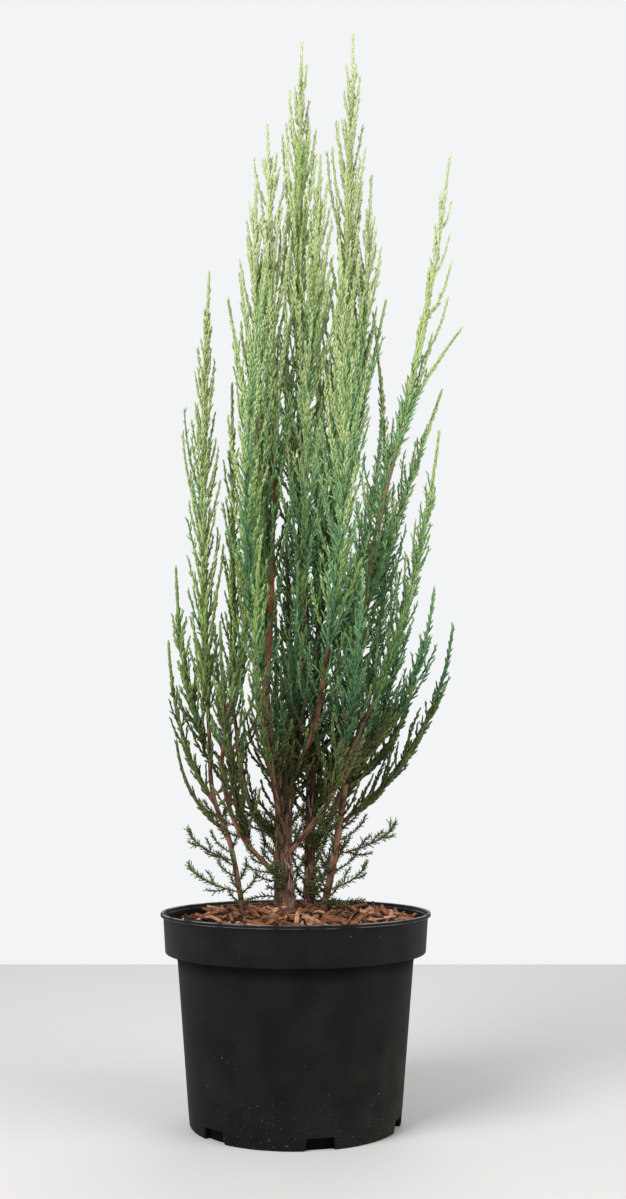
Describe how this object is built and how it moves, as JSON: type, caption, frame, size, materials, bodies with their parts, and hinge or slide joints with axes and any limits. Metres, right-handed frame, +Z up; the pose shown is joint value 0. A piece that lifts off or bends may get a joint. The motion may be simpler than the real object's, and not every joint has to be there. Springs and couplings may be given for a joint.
{
  "type": "potted columnar juniper",
  "caption": "Slender upright evergreen shrub with fine scaly sprays rising from several thin stems, in a round black nursery pot topped with bark mulch.",
  "frame": {"origin": "centre of the pot's underside, on the ground", "axes": "+Z up along the pot's axis, the front of the plant towards -Y, +X to the right in the picture"},
  "size_m": [0.3242, 0.2806, 1.192],
  "materials": {
    "pot_plastic": "matt charcoal-black moulded plastic, faintly stained",
    "bark_mulch": "rough reddish-brown bark chips over dark mix",
    "bark": "rough, grey-brown at the foot, redder on the boughs",
    "foliage_foot": "dull dark green scale sprays",
    "foliage_low": "dull blue-green scale sprays",
    "foliage_high": "dull mid-green scale sprays",
    "foliage_top": "pale yellow-green new growth"
  },
  "bodies": {
    "root": {"pot": "pot_plastic", "potting_mix": "bark_mulch", "trunk": "bark", "second_stem": "bark", "right_bough": "bark", "left_bough": "bark", "left_leader": "bark", "left_inner_bough": "bark", "left_back_bough": "bark", "right_inner_bough": "bark", "front_left_bough": "bark", "front_right_bough": "bark", "back_left_bough": "bark", "back_bough": "bark", "back_right_bough": "bark", "crown_tip": "foliage_top", "second_stem_top": "foliage_top", "right_top": "foliage_top", "left_top": "foliage_top", "left_leader_top": "foliage_top", "left_inner_top": "foliage_high", "left_back_top": "foliage_high", "right_inner_top": "foliage_high", "front_left_top": "foliage_high", "front_right_top": "foliage_top", "back_left_top": "foliage_top", "back_top": "foliage_top", "back_right_top": "foliage_high", "trunk_shoot_1": "foliage_low", "trunk_shoot_2": "foliage_low", "trunk_shoot_3": "foliage_high", "trunk_shoot_4": "foliage_top", "trunk_shoot_5": "foliage_top", "second_shoot_1": "foliage_low", "second_shoot_2": "foliage_high", "second_shoot_3": "foliage_high", "second_shoot_4": "foliage_top", "leader_shoot_1": "foliage_high", "leader_shoot_2": "foliage_top", "right_shoot_1": "foliage_high", "right_shoot_2": "foliage_high", "right_shoot_3": "foliage_low", "right_shoot_4": "foliage_low", "right_shoot_5": "foliage_low", "left_shoot_1": "foliage_low", "left_shoot_2": "foliage_low", "left_shoot_3": "foliage_foot", "front_shoot_1": "foliage_low", "front_shoot_2": "foliage_low", "front_shoot_3": "foliage_low", "back_shoot_1": "foliage_low", "back_shoot_2": "foliage_low", "back_shoot_3": "foliage_low", "back_shoot_4": "foliage_low", "low_spray_left_1": "foliage_foot", "low_spray_left_2": "foliage_foot", "low_spray_right_1": "foliage_foot", "low_spray_right_2": "foliage_foot", "low_spray_back": "foliage_foot", "low_spray_front": "foliage_foot"}
  },
  "joints": []
}
